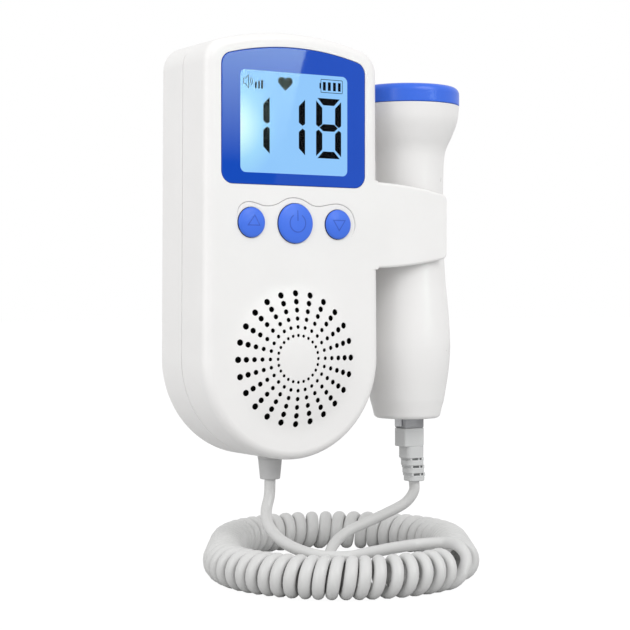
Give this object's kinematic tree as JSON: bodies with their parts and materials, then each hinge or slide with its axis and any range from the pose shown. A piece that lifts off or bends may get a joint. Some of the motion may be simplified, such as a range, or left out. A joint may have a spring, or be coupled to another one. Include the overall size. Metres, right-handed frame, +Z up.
{
  "type": "fetal doppler monitor",
  "caption": "Upright hand-held monitor with a lit window, buttons and a domed speaker grille, and a round probe in its side clip, joined by a curly cord.",
  "frame": {"origin": "middle of the flat rear face, level with the centre of the speaker grille", "axes": "+X to the right seen from the front, +Y from the front through to the rear, +Z up"},
  "size_m": [0.1091, 0.1172, 0.1762],
  "materials": {
    "case_plastic": "fine satin moulded plastic",
    "window_blue": "glossy printed window",
    "foam_black": "matt foam",
    "display_blue": "lit display glass",
    "light_guide": "clear light guide",
    "board_green": "solder mask",
    "component_black": "moulded components",
    "steel": "plated steel",
    "button_blue": "satin blue plastic",
    "speaker_black": "woven dust cloth",
    "speaker_grey": "pressed steel basket",
    "cone_paper": "pressed paper cone",
    "magnet": "ferrite",
    "cell_green": "shrink sleeve",
    "gland_grey": "soft moulded rubber",
    "cord_grey": "smooth cord jacket",
    "plug_clear": "translucent plug",
    "gold": "plated contacts",
    "probe_plastic": "fine satin moulded plastic",
    "cap_blue": "satin blue plastic",
    "crystal": "silvered ceramic",
    "backing": "filled resin"
  },
  "bodies": {
    "case": {"front_shell": "case_plastic", "rear_shell": "case_plastic", "window_panel": "window_blue", "display_gasket": "foam_black", "display_glass": "display_blue", "display_light": "light_guide", "main_board": "board_green", "board_parts": "component_black", "button_switches": "component_black", "board_screws": "steel", "case_screws": "steel", "speaker_cloth": "speaker_black", "speaker_gasket": "foam_black", "speaker_frame": "speaker_grey", "speaker_cone": "cone_paper", "speaker_magnet": "magnet", "battery_cells": "cell_green", "battery_contacts": "steel", "cord_gland": "gland_grey", "cord_lower": "cord_grey", "curly_cord": "cord_grey", "cord_upper": "cord_grey"},
    "button_up": {"button_up": "button_blue"},
    "button_power": {"button_power": "button_blue"},
    "button_down": {"button_down": "button_blue"},
    "battery_door": {"battery_door": "case_plastic"},
    "probe": {"plug_housing": "plug_clear", "plug_contacts": "gold", "plug_latch": "plug_clear", "plug_boot": "gland_grey", "probe_shell": "probe_plastic", "probe_cap": "cap_blue", "probe_crystals": "crystal", "probe_backing": "backing", "probe_board": "board_green", "probe_socket": "component_black"}
  },
  "joints": [
    {"name": "button_up_press", "type": "slide", "parent": "case", "child": "button_up", "axis": [0, 1, 0], "range_m": [0, 0.0006], "stiffness_N_per_m": 1500},
    {"name": "button_power_press", "type": "slide", "parent": "case", "child": "button_power", "axis": [0, 1, 0], "range_m": [0, 0.0006], "stiffness_N_per_m": 1500},
    {"name": "button_down_press", "type": "slide", "parent": "case", "child": "button_down", "axis": [0, 1, 0], "range_m": [0, 0.0006], "stiffness_N_per_m": 1500},
    {"name": "battery_door_hinge", "type": "hinge", "parent": "case", "child": "battery_door", "pos_m": [0, -0.0011, 0.0332], "axis": [-1, 0, 0], "range_deg": [0, 80]},
    {"name": "probe_slide", "type": "slide", "parent": "case", "child": "probe", "axis": [1, 0, 0], "range_m": [0, 0.03]}
  ]
}
